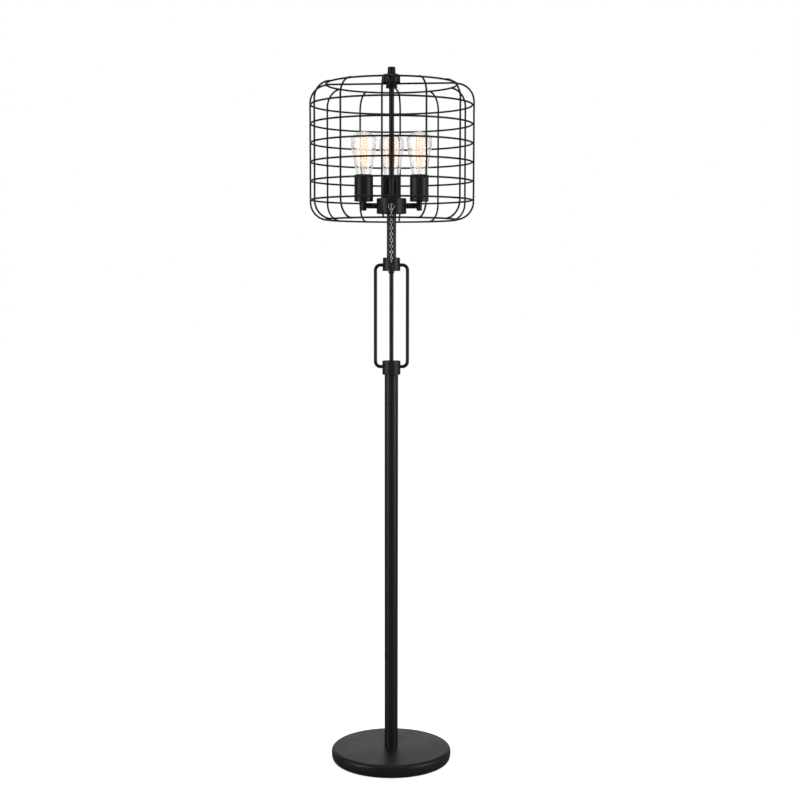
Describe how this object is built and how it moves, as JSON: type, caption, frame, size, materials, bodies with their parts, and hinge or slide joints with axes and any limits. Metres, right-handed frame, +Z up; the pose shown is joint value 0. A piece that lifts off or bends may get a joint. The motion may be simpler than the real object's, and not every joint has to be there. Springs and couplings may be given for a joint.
{
  "type": "wire cage floor lamp",
  "caption": "Black metal floor lamp: round weighted base, straight pole with an open loop, clear bulbs in sockets inside a drum-shaped wire cage, and a pull chain.",
  "frame": {"origin": "on the floor under the axis of the pole", "axes": "+Z up along the pole, -Y to the front, where the pull chain hangs, +X to the right of a person who looks at the front"},
  "size_m": [0.3862, 0.3862, 1.65],
  "materials": {
    "black_metal": "satin black paint",
    "zinc_steel": "zinc plate",
    "cast_iron": "as cast",
    "soft_pad": "matte foam",
    "bright_chain": "bright plate",
    "black_plastic": "matte",
    "brass": "bright",
    "clear_glass": "clear",
    "glowing_filament": "glowing"
  },
  "bodies": {
    "lamp": {"arm_back": "black_metal", "arm_left": "black_metal", "arm_right": "black_metal", "base_cover": "black_metal", "base_pad": "soft_pad", "base_stud": "zinc_steel", "base_washer": "zinc_steel", "base_weight": "cast_iron", "bell_mouth": "bright_chain", "bulb_cap_back": "brass", "bulb_cap_left": "brass", "bulb_cap_right": "brass", "bulb_filament_back": "glowing_filament", "bulb_filament_left": "glowing_filament", "bulb_filament_right": "glowing_filament", "bulb_glass_back": "clear_glass", "bulb_glass_left": "clear_glass", "bulb_glass_right": "clear_glass", "cage_bottom_ring": "black_metal", "cage_cap": "black_metal", "cage_hoops": "black_metal", "cage_ribs": "black_metal", "cage_seat": "black_metal", "cage_spider": "black_metal", "cage_top_ring": "black_metal", "centre_rod": "black_metal", "cord_grommet": "black_plastic", "elbow_back": "black_metal", "elbow_left": "black_metal", "elbow_right": "black_metal", "finial": "black_metal", "hollow_rod_nuts": "zinc_steel", "hub_body": "black_metal", "hub_lid": "black_metal", "lampholder_back": "black_plastic", "lampholder_left": "black_plastic", "lampholder_right": "black_plastic", "loop_rod_left": "black_metal", "loop_rod_right": "black_metal", "lower_collar": "black_metal", "pole_foot_plug": "zinc_steel", "pole_joint_sleeve": "zinc_steel", "pole_lower": "black_metal", "pole_upper": "black_metal", "pull_switch": "black_plastic", "riser_tube": "black_metal", "screw_shell_back": "brass", "screw_shell_left": "brass", "screw_shell_right": "brass", "socket_cup_back": "black_metal", "socket_cup_left": "black_metal", "socket_cup_right": "black_metal", "stem_plug": "zinc_steel", "upper_collar": "black_metal", "upper_stem": "black_metal"},
    "pull": {"lead_link": "bright_chain", "switch_lever": "zinc_steel"},
    "swing": {"top_link": "bright_chain"},
    "chain": {"pull_chain": "bright_chain", "pull_knob": "black_metal"}
  },
  "joints": [
    {"name": "chain_pull", "type": "slide", "parent": "lamp", "child": "pull", "axis": [0, 0, -1], "range_m": [0, 0.005], "stiffness_N_per_m": 500, "springref_m": -0.006},
    {"name": "chain_swing_front", "type": "hinge", "parent": "pull", "child": "swing", "pos_m": [0, -0.052, 1.329], "axis": [-1, 0, 0], "range_deg": [-8, 30]},
    {"name": "chain_swing_side", "type": "hinge", "parent": "swing", "child": "chain", "pos_m": [0, -0.052, 1.322], "axis": [0, 1, 0], "range_deg": [-25, 25]}
  ]
}
